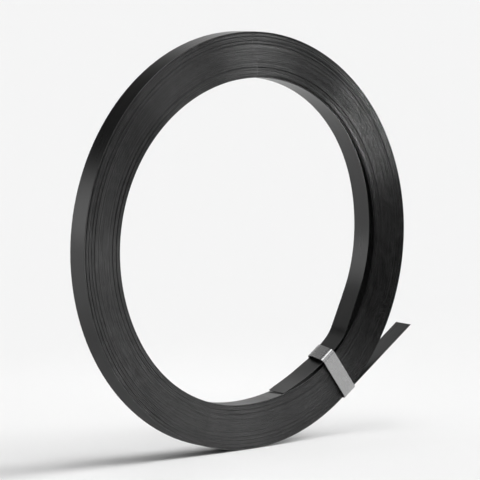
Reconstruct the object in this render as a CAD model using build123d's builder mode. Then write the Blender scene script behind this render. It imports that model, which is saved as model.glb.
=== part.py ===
# Coil of flat steel strapping, tied with one bright metal band and standing upright on its rim.
# Millimetres. The floor is Z = 0, the coil's axis runs along Y, and its front end faces -Y.
import os
from math import acos, atan2, cos, degrees, radians, sin, sqrt

from build123d import *

# Strap: one continuous strip of black steel, wound flat on itself
strap_width = 19.0
strap_thickness = 0.5
turn_air = 0.09

# Wound body, from the bore outwards: turns that slid together, and how far each lot slid along the axis
bore_radius = 138.5
slide_reach = 0.4
bundle_turns = [2, 1, 4, 1, 5, 1, 16, 14, 1, 4, 1, 4, 1, 7]
bundle_slide_shares = [0.2, -0.9, 0.4, -0.8, 0.1, -0.6, 0.3, 0.0, -0.7, 0.2, -1.0, 1.0, -0.8, 0.0]

# Outer end of the strap: a straight tail that leaves the rim under the band
tail_length = 99.9
tail_shear = 0.5
tail_tuck = 0.02

# Loose innermost turn: leaves the bore, sags inwards, kinks back to the wall and ends past the band
loose_start_angle = 129.0
loose_slack = 6.2
loose_tuck = 0.1
kink_angle = 13.7
kink_gap = 1.5
kink_radius = 14.0
bend_gap = 3.7
bend_radius = 12.0
tip_angle = -20.7
tip_gap = 2.2

# Tie band: a strip bent round the section of the coil, its two ends lapped on the rim
band_angle = -54.4
band_width = 15.9
band_thickness = 0.5
band_lead = 1.9
band_bend_radius = 3.0
band_clearance = 0.05
lap_gap = 0.1
lap_inset = 4.0

# The band's round bends stand off the square corners of the coil, so its legs do too
band_standoff = band_bend_radius * (1 - sqrt(1 / 2)) + band_clearance

turn_pitch = strap_thickness + turn_air
outer_radius = bore_radius + sum(bundle_turns) * turn_pitch
bundle_slides = [share * slide_reach for share in bundle_slide_shares]

# Middle plane of the coil, seen from the front: local X runs from the axis to the spot where the tail
# leaves the rim, and local Y along the tail. The section plane is square to it, along local X
band_direction = (cos(radians(band_angle)), 0, sin(radians(band_angle)))
coil_plane = Plane((0, 0, outer_radius), x_dir=band_direction, z_dir=(0, -1, 0))
section_plane = Plane(coil_plane.origin, x_dir=coil_plane.x_dir, z_dir=-coil_plane.y_dir)
coil_axis = Axis(coil_plane.origin, coil_plane.z_dir)


def polar(radius, angle):
    """Point of the coil plane at a radius and an angle from its X axis."""
    return Vector(radius * cos(radians(angle)), radius * sin(radians(angle)))


# Points of the loose turn, on the side that faces the bore wall
band_near = band_lead
band_far = band_lead + band_width
loose_radius = bore_radius + loose_tuck + strap_thickness - loose_slack
loose_centre = polar(loose_slack, loose_start_angle)
kink = polar(bore_radius - kink_gap, kink_angle)
spoke = kink - loose_centre
leave_angle = degrees(atan2(spoke.Y, spoke.X) + acos(loose_radius / spoke.length))
leave = loose_centre + polar(loose_radius, leave_angle)
bend = Vector(sqrt((bore_radius - bend_gap) ** 2 - band_near**2), band_near)
tip = polar(bore_radius - tip_gap, tip_angle)

# Strap coil: the turned body with its bore, the turns stepped on both ends
with BuildPart() as strap_coil:
    with BuildSketch(section_plane):
        inner = bore_radius
        for turns, slide in zip(bundle_turns, bundle_slides):
            thickness = turns * turn_pitch
            with Locations((inner, slide)):
                Rectangle(thickness, strap_width, align=(Align.MIN, Align.CENTER))
            inner += thickness
    revolve(axis=coil_axis)

    # The innermost turn has come loose between these two angles, so the wall lacks one turn there
    for arc in (loose_start_angle, tip_angle):
        with BuildSketch(section_plane):
            with Locations((bore_radius, bundle_slides[0])):
                Rectangle(turn_pitch, strap_width + slide_reach, align=(Align.MIN, Align.CENTER))
        revolve(axis=coil_axis, revolution_arc=arc, mode=Mode.SUBTRACT)

    # Straight tail, sheared a little out of square at its end
    tail_origin = coil_plane.from_local_coords((outer_radius - tail_tuck, 0, bundle_slides[-1]))
    with BuildSketch(Plane(tail_origin, x_dir=coil_plane.y_dir, z_dir=coil_plane.x_dir)):
        with BuildLine():
            Polyline(
                (0, -strap_width / 2),
                (tail_length, -strap_width / 2),
                (tail_length - tail_shear, strap_width / 2),
                (0, strap_width / 2),
                close=True,
            )
        make_face()
    extrude(amount=-strap_thickness)

    # Loose innermost turn with the free end of the strap
    with BuildSketch(coil_plane.offset(bundle_slides[0])):
        with BuildLine():
            CenterArc(loose_centre, loose_radius, loose_start_angle, leave_angle - loose_start_angle)
            FilletPolyline(leave, kink, bend, tip, radius=(kink_radius, bend_radius))
            offset(amount=strap_thickness, side=Side.RIGHT)
        make_face()
    extrude(amount=strap_width / 2, both=True)

# Tie band: the path is the middle of the strip, from the end under the lap round to the end over it
lean = (kink.X - bend.X) / (kink.Y - bend.Y)
grip = bend.X + lean * (band_far - bend.Y) - strap_thickness * sqrt(1 + lean**2)
half = band_thickness / 2
leg_inner = grip - band_standoff - half
leg_under = outer_radius + band_standoff + half
leg_over = leg_under + band_thickness + lap_gap
leg_front = max(bundle_slides) + strap_width / 2 + band_standoff + half
leg_back = min(bundle_slides) - strap_width / 2 - band_standoff - half

with BuildPart() as tie_band:
    with BuildSketch(section_plane.offset(-(band_near + band_far) / 2)):
        with BuildLine():
            FilletPolyline(
                (leg_under, leg_front - lap_inset),
                (leg_under, leg_back),
                (leg_inner, leg_back),
                (leg_inner, leg_front),
                (leg_over, leg_front),
                (leg_over, leg_back + lap_inset),
                radius=band_bend_radius + half,
            )
        trace(line_width=band_thickness)
    extrude(amount=band_width / 2, both=True)

strap_coil.part.label = "strap_coil"
tie_band.part.label = "tie_band"

os.makedirs("parts", exist_ok=True)
export_step(strap_coil.part, "parts/strap_coil.step")
export_step(tie_band.part, "parts/tie_band.step")

for piece in (strap_coil.part, tie_band.part):
    box = piece.bounding_box()
    print(piece.label, len(piece.solids()), "solid", round(piece.volume), "mm3", box.min, box.max)
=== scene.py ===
import bpy
import numpy as np
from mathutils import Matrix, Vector


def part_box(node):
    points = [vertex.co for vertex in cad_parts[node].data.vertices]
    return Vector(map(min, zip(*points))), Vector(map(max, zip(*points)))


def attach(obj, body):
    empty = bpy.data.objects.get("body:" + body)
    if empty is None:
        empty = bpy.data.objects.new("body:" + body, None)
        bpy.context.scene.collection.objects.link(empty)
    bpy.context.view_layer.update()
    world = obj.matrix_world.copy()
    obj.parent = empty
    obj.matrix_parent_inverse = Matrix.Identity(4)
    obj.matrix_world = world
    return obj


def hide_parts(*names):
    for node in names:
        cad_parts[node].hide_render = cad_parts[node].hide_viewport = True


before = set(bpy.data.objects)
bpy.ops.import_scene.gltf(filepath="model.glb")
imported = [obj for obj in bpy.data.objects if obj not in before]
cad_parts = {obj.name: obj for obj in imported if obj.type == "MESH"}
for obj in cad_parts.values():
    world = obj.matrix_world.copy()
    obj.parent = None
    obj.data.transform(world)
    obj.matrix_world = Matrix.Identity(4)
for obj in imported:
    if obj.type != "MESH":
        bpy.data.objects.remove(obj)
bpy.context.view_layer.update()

# Strap: one continuous strip of steel, slit from thin sheet, lacquered satin black and wound flat
# on itself about 62 times. Its inner end springs loose into the bore, kinks and runs back to the
# wall, and its outer end leaves the rim as a straight tail.
mm = 0.001
strap_width = 19.0 * mm
strap_thickness = 0.5 * mm
strap_roll = (0.42 * mm, 0.22 * mm)
strap_burr = 0.05 * mm
wound_turns = 62
bore_radius = 138.5 * mm
coil_low, coil_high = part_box("strap_coil")
outer_radius = (coil_high.z - coil_low.z) / 2
turn_step = 2.5

# Angles are in degrees, anticlockwise from the spot where the tail leaves the rim, seen from the front
loose_start_angle = 129.0
loose_slack = 6.2 * mm
loose_tuck = 0.1 * mm
kink_angle = 13.7
kink_gap = 1.5 * mm
kink_radius = 38.0 * mm
bend_gap = 3.5 * mm
bend_radius = 12.0 * mm
tip_angle = -20.7
tip_gap = 2.7 * mm
free_twist = -4.5
free_twist_reach = 22.0
tail_length = 99.9 * mm
tail_shear = 0.5 * mm
tail_tuck = 0.02 * mm
tail_lean = 0.6

# Where the coil is out of round: the middle and the reach of each dent in degrees, and how many
# millimetres the strap lies further from the axis at the bore and at the rim
shared_dents = [(168.0, 36.0, -1.9, 1.0), (105.0, 25.0, 0.7, 0.0)]
wound_dents = [(-28.0, 22.0, -2.8, 0.0), (-78.0, 20.0, 0.9, 0.0), (150.0, 25.0, 0.0, 0.7)]
loose_dents = [(59.4, 22.0, -1.4, 0.0), (-10.0, 8.0, 1.0, 0.0)]

# The spot where the tail leaves the rim, from the right-hand side, and how far along the tail from there
# the band of the solid begins
tie_angle = np.radians(-54.4)
tie_lead = 1.9 * mm

# The coil's middle plane, seen from the front, as complex numbers: the real axis points at the spot
# where the tail leaves the rim, and the imaginary axis runs along the tail
coil_centre = np.array([0, 0, outer_radius])
coil_right = np.array([np.cos(tie_angle), 0, np.sin(tie_angle)])
coil_up = np.array([-np.sin(tie_angle), 0, np.cos(tie_angle)])
coil_front = np.array([0, -1, 0])


def polar(radius, angle):
    """Radius times e to the power of i times the angle, which is in degrees."""
    return radius * np.exp(1j * np.radians(angle))


def rounded_run(points, radii, steps=14):
    """Straight runs from point to point, each inner corner replaced by an arc of its radius: the arc
    starts radius times tan(half the turn) before the corner and swings round a centre square to the
    run."""
    parts = [np.array(points[:1])]
    for before, corner, after, radius in zip(points, points[1:], points[2:], radii):
        heading = (corner - before) / abs(corner - before)
        turn = np.angle((after - corner) / heading)
        spoke = 1j * heading * np.sign(turn) * radius
        start = corner - heading * radius * np.tan(abs(turn) / 2)
        parts.append(start + spoke - spoke * np.exp(1j * turn * np.linspace(0, 1, steps)))
    return np.concatenate(parts + [np.array(points[-1:])])


def with_stops(path, count):
    """The same path with more points: its own, and a number of others spaced evenly along it."""
    reach = np.append(0, np.cumsum(abs(np.diff(path))))
    return np.interp(np.union1d(reach, np.linspace(0, reach[-1], count)), reach, path)


def flat_strip(
    name, path, plane, depths, width, roll, burr,
    slide=0.0, twist=0.0, edge_lean=0.0, end_shear=0.0, row=None,
):
    """A slit strip, its edges rolled over on the outer side and left nearly sharp on the inner one: an
    eight-sided profile, turned by the twist and carried along a plane path. A point is the path's point,
    less its turned depth along the path's right-hand normal, plus its slide and its turned breadth along
    the plane's normal. The flats and the edge crowns carry exact normals, so the light rolls only over
    the rounded corners."""
    origin, right, up, normal = plane
    top, bottom = depths
    half = width / 2
    roll_in, roll_down = roll
    depth = np.array([
        top, top, top + roll_in, bottom - burr, bottom, bottom, bottom - burr, top + roll_in,
    ])
    breadth = np.array([
        roll_down - half, half - roll_down, half, half, half - burr, burr - half, -half, -half,
    ])
    faces_out = np.array([1, 1, 0, 0, -1, -1, 0, 0])
    faces_side = np.array([0, 0, 1, 1, 0, 0, -1, -1])
    sides = len(depth)

    runs = np.diff(path)
    length = np.append(0, np.cumsum(abs(runs)))
    heading = runs / abs(runs)
    heading = np.concatenate([heading[:1], heading[:-1] + heading[1:], heading[-1:]])
    heading /= abs(heading)
    outward = -1j * heading
    count = len(path)
    slide = np.broadcast_to(slide, count)
    twist = np.broadcast_to(twist, count)[:, None]

    planar = path[:, None] - outward[:, None] * (depth * np.cos(twist) + breadth * np.sin(twist))
    planar[-1] -= heading[-1] * end_shear * (breadth / width + 0.5)
    lift = slide[:, None] + breadth * np.cos(twist) - depth * np.sin(twist)
    points = origin + planar.real[..., None] * right + planar.imag[..., None] * up
    points = points + lift[..., None] * normal
    leaning = faces_out + np.broadcast_to(edge_lean, count)[:, None] * abs(faces_side)
    lean = outward[:, None] * (leaning * np.cos(twist) - faces_side * np.sin(twist))
    rise = leaning * np.sin(twist) + faces_side * np.cos(twist)
    normals = lean.real[..., None] * right + lean.imag[..., None] * up + rise[..., None] * normal
    normals /= np.linalg.norm(normals, axis=-1, keepdims=True)
    points, normals = points.reshape(-1, 3), normals.reshape(-1, 3)

    # Side faces, one ring of eight for each step of the path, and one cap at each end
    station, side = np.meshgrid(np.arange(count - 1), np.arange(sides), indexing="ij")
    step_on = np.array([0, 1, 1, 0])
    side_on = np.array([0, 0, 1, 1])
    corner_station = station[..., None] + step_on
    corner_side = side[..., None] + side_on
    quads = (corner_station * sides + corner_side % sides).reshape(-1, 4)
    caps = [np.arange(sides), np.arange(sides)[::-1] + (count - 1) * sides]
    mesh = bpy.data.meshes.new(name)
    mesh.from_pydata(points.tolist(), [], quads.tolist() + [cap.tolist() for cap in caps])
    mesh.shade_smooth()

    cap_heading = np.stack([-heading[0], heading[-1]])
    cap_normals = cap_heading.real[:, None] * right + cap_heading.imag[:, None] * up
    corner_normals = np.concatenate([normals[quads.ravel()], np.repeat(cap_normals, sides, axis=0)])
    mesh.normals_split_custom_set(corner_normals.tolist())

    # Two maps: metres along and across the strip, and a sheet of rows for the export's bake
    cap_index = np.concatenate(caps)
    cap_side = cap_index % sides
    along = np.concatenate([length[corner_station].ravel(), length[cap_index // sides]])
    across = np.concatenate([breadth[corner_side % sides].ravel(), breadth[cap_side]])
    run_map = np.stack([along, across], 1)
    row = row or count - 1
    rows = -(-(count - 1) // row) + 1
    side_shares = np.array([2, 1, 1, 1, 2, 1, 1, 1])
    side_starts = np.append(0, np.cumsum(side_shares)) / side_shares.sum()
    sheet_u = (station % row)[..., None] + step_on
    sheet_v = (station // row)[..., None] + side_starts[corner_side]
    cap_lefts = np.repeat([0.1, 0.6], sides)
    cap_drop = 0.8
    cap_wide, cap_high = 0.3, 0.6
    cap_u = cap_lefts + cap_wide * (breadth[cap_side] / width + 0.5)
    cap_v = rows - cap_drop + cap_high * (depth[cap_side] - top) / (bottom - top)
    sheet_map = np.stack([
        np.append(sheet_u.ravel() / row, cap_u),
        np.append(sheet_v.ravel(), cap_v) / rows,
    ], 1)
    for map_name, corners in (("run", run_map), ("OFBake", sheet_map)):
        layer = mesh.uv_layers.new(name=map_name)
        layer.data.foreach_set("uv", corners.ravel().astype(np.float32))

    piece = bpy.data.objects.new(name, mesh)
    bpy.context.scene.collection.objects.link(piece)
    return piece


def out_of_round(path, dents, outer_share):
    """How far each point moves from the axis: for each dent, its depth at the bore and at the rim, mixed
    by the share, times e to the power of minus the square of (the angle from the dent's middle over its
    reach)."""
    angles = np.degrees(np.angle(path))
    depth = 0.0
    for middle, reach, at_bore, at_rim in dents:
        bump = np.exp(-((((angles - middle + 180) % 360 - 180) / reach) ** 2))
        depth = depth + bump * (at_bore + (at_rim - at_bore) * outer_share) * mm
    return depth * path / abs(path)


# The strap's outer side, from the free end in the bore to the cut end of the tail
kink = polar(bore_radius - kink_gap, kink_angle)
loose_radius = bore_radius + loose_tuck + strap_thickness - loose_slack
loose_centre = polar(loose_slack, loose_start_angle)
kink_spoke = kink - loose_centre
leave_angle = np.degrees(np.angle(kink_spoke) + np.arccos(loose_radius / abs(kink_spoke)))
leave = loose_centre + polar(loose_radius, leave_angle)
bend = np.sqrt((bore_radius - bend_gap) ** 2 - tie_lead**2) + 1j * tie_lead
tip = polar(bore_radius - tip_gap, tip_angle)
free_end_stops = 40
free_end = with_stops(rounded_run([tip, bend, kink, leave], [bend_radius, kink_radius]), free_end_stops)
loose_angles = np.arange(leave_angle + turn_step, loose_start_angle, turn_step)
loose_turn = loose_centre + polar(loose_radius, loose_angles)
last_angle = 360 * wound_turns
turn_angles = np.append(np.arange(loose_start_angle, last_angle, turn_step), last_angle)
turn_count = (turn_angles - turn_angles[0]) / 360
first_radius = bore_radius + loose_tuck + strap_thickness
turn_radius = np.interp(turn_count, turn_count[[0, -1]], [first_radius, outer_radius - tail_tuck])
wound = polar(turn_radius, turn_angles)
wound += out_of_round(wound, shared_dents + wound_dents, turn_count / turn_count[-1])
tail_stops = 4
tail = wound[-1] + polar(tail_length * np.linspace(0, 1, tail_stops)[1:], 90 - tail_lean)
loose = np.concatenate([free_end, loose_turn])
loose += out_of_round(loose, shared_dents + loose_dents, 0.0)
strap_path = np.concatenate([loose, wound, tail])

# Turns that slid along the axis in lots while the coil was wound and handled: how many turns are in
# each lot, from the bore outwards, and how far it slid, in hundredths of a millimetre. The lots were
# pushed further on one side of the coil than on the other, and each turn wavers a little
slid_turns = np.array([2, 1, 4, 1, 5, 1, 6, 1, 9, 8, 1, 5, 1, 4, 1, 4, 1, 4, 1, 2])
slid_hundredths = np.array([
    -30, -75, 16, -70, 4, -60, 12, -28, 6, 2, -32, 8, -60, 6, -70, 12, -65, 4, -60, 8,
])
slid_by = slid_hundredths * 0.01 * mm
lot_end_spread = 0.45
lot_shift = 0.05
pushed_angle = 240.0
pushed_mean = 0.74
pushed_swing = 0.28
slide_limits = (-0.9 * mm, 0.4 * mm)
winding_chance = np.random.default_rng(11)


def unsteady(size, turns_apart):
    """A wandering value: the size times a normal draw at knots so many turns apart, joined straight."""
    knots = np.arange(0, wound_turns + 1, turns_apart)
    return size * np.interp(turn_count, knots, winding_chance.standard_normal(len(knots)))


lot_ends = np.cumsum(slid_turns)[:-1]
lot_ends = lot_ends + winding_chance.uniform(-lot_end_spread, lot_end_spread, len(lot_ends))
lot_knots = np.stack([lot_ends - lot_shift, lot_ends + lot_shift], 1).ravel()
lot_slides = np.repeat(slid_by, 2)[1:-1]
waver = unsteady(0.06 * mm, turns_apart=0.17) + unsteady(0.02 * mm, turns_apart=0.05)
pushed = pushed_mean + pushed_swing * np.cos(np.radians(turn_angles - pushed_angle))
wound_slide = np.clip(np.interp(turn_count, lot_knots, lot_slides) * pushed + waver, *slide_limits)
wound_lean = unsteady(0.10, turns_apart=0.11)
inner_count = len(loose)
strap_slide = np.concatenate([
    np.full(inner_count, wound_slide[0]),
    wound_slide,
    np.full(len(tail), wound_slide[-1]),
])
strap_lean = np.concatenate([np.zeros(inner_count), wound_lean, np.zeros(len(tail))])

# The free end is twisted a little, with its front edge nearer to the wall
twist_share = np.exp(-((np.degrees(np.angle(loose)) / free_twist_reach) ** 2))
strap_twist = np.concatenate([np.radians(free_twist) * twist_share, np.zeros(len(wound) + len(tail))])

coil_plane = (coil_centre, coil_right, coil_up, coil_front)
strap = flat_strip(
    "strap", strap_path, coil_plane, (0.0, strap_thickness), strap_width, strap_roll, strap_burr,
    slide=strap_slide, twist=strap_twist, edge_lean=strap_lean, end_shear=tail_shear,
    row=round(360 / turn_step),
)


class Wire:
    """A value in a material. Arithmetic on it adds Math nodes, and node() adds any other node."""

    def __init__(self, tree, socket=None):
        self.tree = tree
        self.socket = socket

    def node(self, kind, settings=None, inputs=None, output=0):
        """A new node: its settings are set first, and then its sockets get values or links, by name or
        by number."""
        made = self.tree.nodes.new(kind)
        for key, value in (settings or {}).items():
            setattr(made, key, value)
        for key, value in (inputs or {}).items():
            if isinstance(value, Wire):
                self.tree.links.new(value.socket, made.inputs[key])
            else:
                made.inputs[key].default_value = value
        return Wire(self.tree, made.outputs[output] if len(made.outputs) else None)

    def maths(self, operation, *values):
        """A Math node: the operation on the values, in their order."""
        return self.node("ShaderNodeMath", {"operation": operation}, dict(enumerate(values)))

    def __add__(self, other):
        return self.maths("ADD", self, other)

    def __sub__(self, other):
        return self.maths("SUBTRACT", self, other)

    def __rsub__(self, other):
        return self.maths("SUBTRACT", other, self)

    def __mul__(self, other):
        return self.maths("MULTIPLY", self, other)

    __radd__ = __add__
    __rmul__ = __mul__


def new_material(name):
    """An empty node material, with a Wire to build it from."""
    material = bpy.data.materials.new(name)
    material.use_nodes = True
    material.node_tree.nodes.clear()
    return material, Wire(material.node_tree)


def noise_along(wire, run, scale, detail=2.0):
    """Noise stretched along the strip: the map's metres along and across, times the two scales."""
    stretched = wire.node("ShaderNodeVectorMath", {"operation": "MULTIPLY"}, {0: run, 1: (*scale, 1.0)})
    grain = {"Vector": stretched, "Scale": 1.0, "Detail": detail, "Roughness": 0.5}
    return wire.node("ShaderNodeTexNoise", None, grain)


def spread(wire, value, low, high, to_low=0.0, to_high=1.0):
    """The value's range from low to high, spread evenly and clamped to the new range."""
    ends = {"From Min": low, "From Max": high, "To Min": to_low, "To Max": to_high}
    return wire.node("ShaderNodeMapRange", None, {"Value": value, **ends})


def grey(level):
    """A plain grey: the level three times, and full cover."""
    return (level, level, level, 1)


def blend(wire, share, first, second):
    """A colour between two: the first times (1 - share) plus the second times the share."""
    return wire.node("ShaderNodeMix", {"data_type": "RGBA"}, {0: share, 6: first, 7: second}, output=2)


def distance_from(wire, place, spot):
    """The length of the line from a spot to the place, in metres."""
    ends = {0: place, 1: spot}
    return wire.node("ShaderNodeVectorMath", {"operation": "DISTANCE"}, ends, output="Value")


lacquer, wire = new_material("black_lacquer")
lacquer_blacks = (grey(0.008), grey(0.013))
bare_steels = (grey(0.02), grey(0.24))
rubbed_edge = 0.4 * mm
run = wire.node("ShaderNodeUVMap", {"uv_map": "run"})
along = wire.node("ShaderNodeSeparateXYZ", None, {0: run}, output=0)
across = wire.node("ShaderNodeSeparateXYZ", None, {0: run}, output=1)
streaks = noise_along(wire, run, (5.0, 900.0))
smears = noise_along(wire, run, (14.0, 90.0), detail=3.0)
long_tone = noise_along(wire, run, (3.5, 0.0))
rubbing = noise_along(wire, run, (30.0, 0.0), detail=3.0)
edge = spread(wire, wire.maths("ABSOLUTE", across), strap_width / 2 - rubbed_edge, strap_width / 2)
rubbed = edge * spread(wire, rubbing, 0.3, 0.7, 0.7, 1.0)
shade = spread(wire, streaks * 0.5 + smears * 0.5, 0.3, 0.7)
black = blend(wire, shade, *lacquer_blacks)

# The bare edges' colour has random scuffs, and on top of them painted light: painted highlights make the
# steel brighter at the foot and at the left, and painted shade makes it darker at the right. A patch has
# a middle, the distances from it at which it fades out and is full, and an amount
place = wire.node("ShaderNodeTexCoord", output="Object")
scuff_grain = {"Vector": place, "Scale": 110.0, "Detail": 4.0, "Roughness": 0.6}
scuffs = wire.node("ShaderNodeTexNoise", None, scuff_grain)
wear_level = 0.40
scuff_depth = 0.55
painted_light_patches = {
    "foot": ((0.004, 0.0, 0.02), 0.12, 0.065, 0.30),
    "left": ((-0.1536, 0.0, 0.205), 0.07, 0.02, 0.20),
    "right": ((0.155, 0.0, 0.147), 0.092, 0.045, -0.28),
}
scuffs_and_painted_light = wear_level + scuff_depth * (scuffs - 0.5)
for middle, far, near, amount in painted_light_patches.values():
    scuffs_and_painted_light = scuffs_and_painted_light + amount * spread(wire, distance_from(wire, place, middle), far, near)
# The bare steel's colour carries the scuffs and the painted highlights and painted shade of the patches
bare_steel_and_painted_light = blend(wire, scuffs_and_painted_light, *bare_steels)
wear_and_painted_light = blend(wire, rubbed, black, bare_steel_and_painted_light)

# The rim is duller at the lower left, where the coil rolled on the floor. The stretch of wall behind the
# loose turn was covered, so its lacquer is still smooth
rolled_spot = (-0.130, 0.0, 0.058)
rolled_far, rolled_near = 0.125, 0.06
rolled = spread(wire, distance_from(wire, place, rolled_spot), rolled_far, rolled_near) * (1 - edge)
covered_angles = (337.0, 485.0)
covered_fade = 0.01
strap_reach = np.append(0, np.cumsum(abs(np.diff(strap_path))))
wound_reach = strap_reach[inner_count:inner_count + len(wound)]
covered_from, covered_to = np.interp(covered_angles, turn_angles, wound_reach)
smooth = spread(wire, along, covered_from - covered_fade, covered_from)
smooth = smooth * spread(wire, along, covered_to + covered_fade, covered_to) * (1 - edge)

# The lacquer's roughness, and by how much each cause raises or lowers it
lacquer_roughness = 0.30
edge_smoothing = 0.14
rolled_dulling = 0.35
covered_smoothing = 0.17
smear_depth, streak_depth, tone_depth = 0.10, 0.08, 0.12
roughness = lacquer_roughness - edge_smoothing * edge + rolled_dulling * rolled
roughness = roughness - covered_smoothing * smooth
roughness = roughness + smear_depth * (smears - 0.5) + streak_depth * (streaks - 0.5)
roughness = roughness + tone_depth * (long_tone - 0.5)
relief = {"Strength": 0.12, "Distance": 0.05 * mm, "Height": streaks + smears}
ripple = wire.node("ShaderNodeBump", None, relief)
finish = wire.node("ShaderNodeBsdfPrincipled", None, {
    "Base Color": wear_and_painted_light, "Metallic": rubbed, "Roughness": roughness, "IOR": 1.5, "Normal": ripple,
})
wire.node("ShaderNodeOutputMaterial", None, {"Surface": finish})
strap.data.materials.append(lacquer)
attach(strap, "root")
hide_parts("strap_coil")

# Tie band: a short strip of bright tinned steel, bent once round the coil's section, a little askew, so
# that it holds the tail and the loose inner turn to the wound turns. Its two ends lap on the rim.
band_width = 14.4 * mm
band_thickness = 0.5 * mm
band_roll = (0.12 * mm, 0.12 * mm)
band_burr = 0.06 * mm
band_bend_radius = 3.0 * mm
band_lap_gap = 0.1 * mm
band_lap_inset = 4.0 * mm
band_stops = 80

# Its leg in the bore has wider bends at the back and at the front, and stands further in than the
# solid's leg there. The band slants along the coil by one slope from front to back and by another
# from the bore to the rim. The solid's width gives the places of its legs from its box
band_bore_radii = (4.6 * mm, 3.6 * mm)
band_bulges = (1.8 * mm, 0.05 * mm)
band_front_bulge = 0.4 * mm
band_middle = 7.9 * mm
band_askew = 0.119
band_turned = 0.0245
solid_band_width = 15.9 * mm
band_low, band_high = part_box("tie_band")
band_inner = (band_low.x - tie_lead * coil_up[0]) / coil_right[0] + band_thickness / 2
solid_band_far = tie_lead + solid_band_width
band_over = (band_high.x - solid_band_far * coil_up[0]) / coil_right[0] - band_thickness / 2
band_under = band_over - band_thickness - band_lap_gap
band_front = -band_low.y - band_thickness / 2 + band_front_bulge
band_back = -band_high.y + band_thickness / 2
band_corners = [
    band_under + 1j * (band_front - band_lap_inset),
    band_under + 1j * band_back,
    band_inner - band_bulges[0] + 1j * band_back,
    band_inner - band_bulges[1] + 1j * band_front,
    band_over + 1j * band_front,
    band_over + 1j * (band_back + band_lap_inset),
]
band_bends = np.array([band_bend_radius, *band_bore_radii, band_bend_radius])
band_path = with_stops(rounded_run(band_corners, band_bends + band_thickness / 2), band_stops)
band_slide = -band_askew * (band_front - band_path.imag) - band_turned * (band_path.real - band_inner)
band_plane = (coil_centre + coil_up * band_middle, coil_right, coil_front, -coil_up)
band_faces = (-band_thickness / 2, band_thickness / 2)
band = flat_strip(
    "tie_band_strip", band_path, band_plane, band_faces, band_width, band_roll, band_burr,
    slide=band_slide,
)

tin, wire = new_material("bright_tin")
tin_greys = (grey(0.35), grey(0.42))
tin_roughness = 0.27
brushing_depth, cloud_depth = 0.05, 0.10
run = wire.node("ShaderNodeUVMap", {"uv_map": "run"})
brushing = noise_along(wire, run, (25.0, 1400.0))
clouds = noise_along(wire, run, (90.0, 110.0), detail=3.0)
metal = blend(wire, clouds, *tin_greys)
roughness = tin_roughness + brushing_depth * (brushing - 0.5) + cloud_depth * (clouds - 0.5)
relief = {"Strength": 0.005, "Distance": 0.02 * mm, "Height": brushing}
scratches = wire.node("ShaderNodeBump", None, relief)
finish = wire.node("ShaderNodeBsdfPrincipled", None, {
    "Base Color": metal, "Metallic": 1.0, "Roughness": roughness, "Normal": scratches,
})
wire.node("ShaderNodeOutputMaterial", None, {"Surface": finish})
band.data.materials.append(tin)
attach(band, "root")
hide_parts("tie_band")

# Studio: a wide plain pale floor in a dim room, lit by eight soft round panels far away, the strongest
# of them on the right, and by one soft lamp close behind the coil, which shows in the bore.
floor_half = 60.0
floor_colour = grey(0.82)
floor_mesh = bpy.data.meshes.new("studio_floor")
floor_corners = [(x * floor_half, y * floor_half, 0) for x, y in ((-1, -1), (1, -1), (1, 1), (-1, 1))]
floor_mesh.from_pydata(floor_corners, [], [(0, 1, 2, 3)])
floor = bpy.data.objects.new("studio_floor", floor_mesh)
bpy.context.scene.collection.objects.link(floor)
floor_white, wire = new_material("floor_white")
paint = wire.node("ShaderNodeBsdfDiffuse", None, {"Color": floor_colour})
wire.node("ShaderNodeOutputMaterial", None, {"Surface": paint})
floor_mesh.materials.append(floor_white)

lamp_size = (0.34, 0.16)
lamp_watts = 0.126
lamp_place = Vector((0.11, 0.34, 0.34))
lamp_target = Vector((0.12, 0.0, 0.07))
lamp_data = bpy.data.lights.new("back_lamp", "AREA")
lamp_data.shape = "RECTANGLE"
lamp_data.size, lamp_data.size_y = lamp_size
lamp_data.energy = lamp_watts
lamp = bpy.data.objects.new("back_lamp", lamp_data)
lamp.location = lamp_place
lamp.rotation_euler = (lamp_target - lamp_place).to_track_quat("-Z", "Y").to_euler()
lamp.visible_camera = False
bpy.context.scene.collection.objects.link(lamp)

room = bpy.data.worlds.new("room")
room.use_nodes = True
room.node_tree.nodes.clear()
wire = Wire(room.node_tree)
look = wire.node("ShaderNodeTexCoord", output="Generated")

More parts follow.
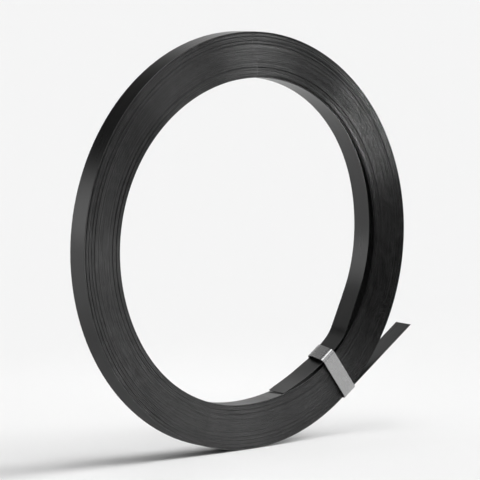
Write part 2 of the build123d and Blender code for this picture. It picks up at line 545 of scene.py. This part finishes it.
# Each panel: the way to it, the angle from its middle at which its soft edge ends, and its strength
base_light = 0.06
panels = {
    "high_right": ((0.66, -0.30, 0.69), 18, 13.5),
    "high_front": ((0.28, -0.66, 0.68), 24, 2.0),
    "side": ((0.86, -0.26, 0.44), 21, 3.0),
    "low_right": ((0.97, -0.12, 0.16), 11, 58.0),
    "low_front": ((0.45, -0.88, 0.15), 20, 1.1),
    "overhead": ((-0.08, -0.08, 0.99), 26, 4.5),
    "back_right": ((0.64, 0.76, 0.18), 38, 0.9),
    "back_left": ((-0.63, 0.76, 0.10), 23, 2.4),
}
light = base_light
for direction, half_angle, strength in panels.values():
    ways = {0: look, 1: Vector(direction).normalized()}
    toward = wire.node("ShaderNodeVectorMath", {"operation": "DOT_PRODUCT"}, ways, output="Value")
    soft_edge = {"Value": toward, "From Min": np.cos(np.radians(half_angle)), "From Max": 1.0}
    panel = wire.node("ShaderNodeMapRange", {"interpolation_type": "SMOOTHSTEP"}, soft_edge)
    light = light + strength * panel
backdrop = wire.node("ShaderNodeBackground", None, {"Strength": light})
wire.node("ShaderNodeOutputWorld", None, {"Surface": backdrop})
bpy.context.scene.world = room

# Camera: at the photograph's viewing angle, with a long lens about two metres away. The three ways run
# from the coil back to the camera, to the right of the picture and up it.
view_back = Vector((-0.64155, -0.76037, 0.10121))
view_right = Vector((0.76430, -0.64486, 0.0))
view_up = Vector((0.06526, 0.07735, 0.99487))
view_distance = 2.1875
view_shift_left = 0.01037
view_shift_up = 0.00192
lens_length = 196.05
sensor_width = 36.0
face_centre = Vector((0, -strap_width / 2, outer_radius))
camera_data = bpy.data.cameras.new("camera")
camera_data.lens = lens_length
camera_data.sensor_width = sensor_width
camera = bpy.data.objects.new("camera", camera_data)
camera.location = face_centre + view_back * view_distance
view_aim = face_centre - view_right * view_shift_left + view_up * view_shift_up
camera.rotation_euler = (view_aim - camera.location).to_track_quat("-Z", "Y").to_euler()
bpy.context.scene.collection.objects.link(camera)
bpy.context.scene.camera = camera
bpy.context.scene.view_settings.view_transform = "Standard"
